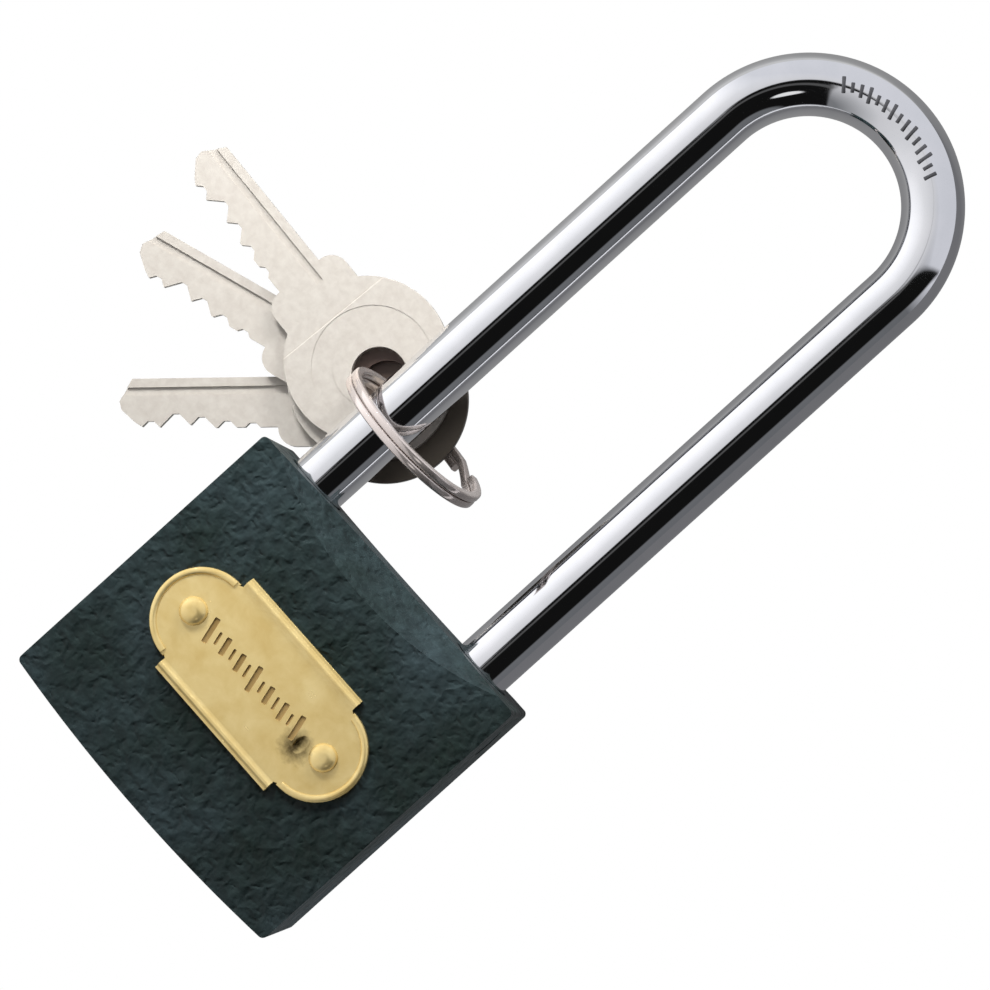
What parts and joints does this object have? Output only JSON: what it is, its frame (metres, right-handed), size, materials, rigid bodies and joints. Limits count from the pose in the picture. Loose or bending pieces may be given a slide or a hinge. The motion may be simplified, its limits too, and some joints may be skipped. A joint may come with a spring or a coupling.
{
  "type": "padlock",
  "caption": "Long-shackle padlock with a painted iron body, a riveted brass plate and a ring of keys on one shackle leg.",
  "frame": {"origin": "centre of the body's flat back face, which lies on the supporting surface", "axes": "+Y out of the body along the shackle, +Z from the back face to the nameplate, +X from the heel leg to the toe leg"},
  "size_m": [0.0883, 0.1421, 0.0248],
  "materials": {
    "body_paint": "dark green-grey hammered enamel",
    "shackle_chrome": "polished chrome plating",
    "plug_brass": "turned brass",
    "pin_brass": "turned brass",
    "pin_steel": "turned steel",
    "spring_steel": "drawn spring wire",
    "plate_brass": "pressed pale brass with a soft polish",
    "ring_nickel": "nickel-plated spring steel",
    "key_nickel": "satin nickel-plated brass"
  },
  "bodies": {
    "lock_body": {"body": "body_paint", "chamber_strip": "body_paint", "latch_bore_cap": "body_paint", "nameplate": "plate_brass", "nameplate_rivets": "plate_brass", "shackle_spring": "spring_steel", "shackle_stop_pin": "pin_steel", "plug_pin": "pin_steel", "latch_spring": "spring_steel", "driver_pin_1": "pin_brass", "driver_pin_2": "pin_brass", "driver_pin_3": "pin_brass", "driver_pin_4": "pin_brass", "driver_pin_5": "pin_brass", "pin_spring_1": "spring_steel", "pin_spring_2": "spring_steel", "pin_spring_3": "spring_steel", "pin_spring_4": "spring_steel", "pin_spring_5": "spring_steel"},
    "shackle": {"shackle": "shackle_chrome"},
    "plug": {"plug": "plug_brass", "drive_pin": "pin_steel", "key_pin_1": "pin_brass", "key_pin_2": "pin_brass", "key_pin_3": "pin_brass", "key_pin_4": "pin_brass", "key_pin_5": "pin_brass"},
    "latch": {"latch": "pin_steel"},
    "key_ring": {"key_ring": "ring_nickel"},
    "key_low": {"key_low": "key_nickel"},
    "key_middle": {"key_middle": "key_nickel"},
    "key_top": {"key_top": "key_nickel"}
  },
  "joints": [
    {"name": "shackle_lift", "type": "slide", "parent": "lock_body", "child": "shackle", "axis": [0, 1, 0], "range_m": [0, 0.01]},
    {"name": "plug_turn", "type": "hinge", "parent": "lock_body", "child": "plug", "pos_m": [0, 0, 0.01295], "axis": [0, -1, 0], "range_deg": [0, 90]},
    {"name": "latch_slide", "type": "slide", "parent": "lock_body", "child": "latch", "axis": [1, 0, 0], "range_m": [0, 0.00241]},
    {"name": "ring_swing", "type": "hinge", "parent": "shackle", "child": "key_ring", "pos_m": [-0.0169, 0.03665, 0.0115], "axis": [0, 1, 0], "range_deg": [-25, 80]},
    {"name": "key_low_swing", "type": "hinge", "parent": "key_ring", "child": "key_low", "pos_m": [-0.01863, 0.03896, 0.00305], "axis": [0, 0, 1], "range_deg": [-60, 0]},
    {"name": "key_middle_swing", "type": "hinge", "parent": "key_ring", "child": "key_middle", "pos_m": [-0.0212, 0.03822, 0.00465], "axis": [0, 0, 1], "range_deg": [-50, 30]},
    {"name": "key_top_swing", "type": "hinge", "parent": "key_ring", "child": "key_top", "pos_m": [-0.02317, 0.03869, 0.00625], "axis": [0, 0, 1], "range_deg": [-50, 50]}
  ],
  "couplings": [
    {"joint": "latch_slide", "follows": "plug_turn", "m_per_rad": 0.0015305}
  ]
}
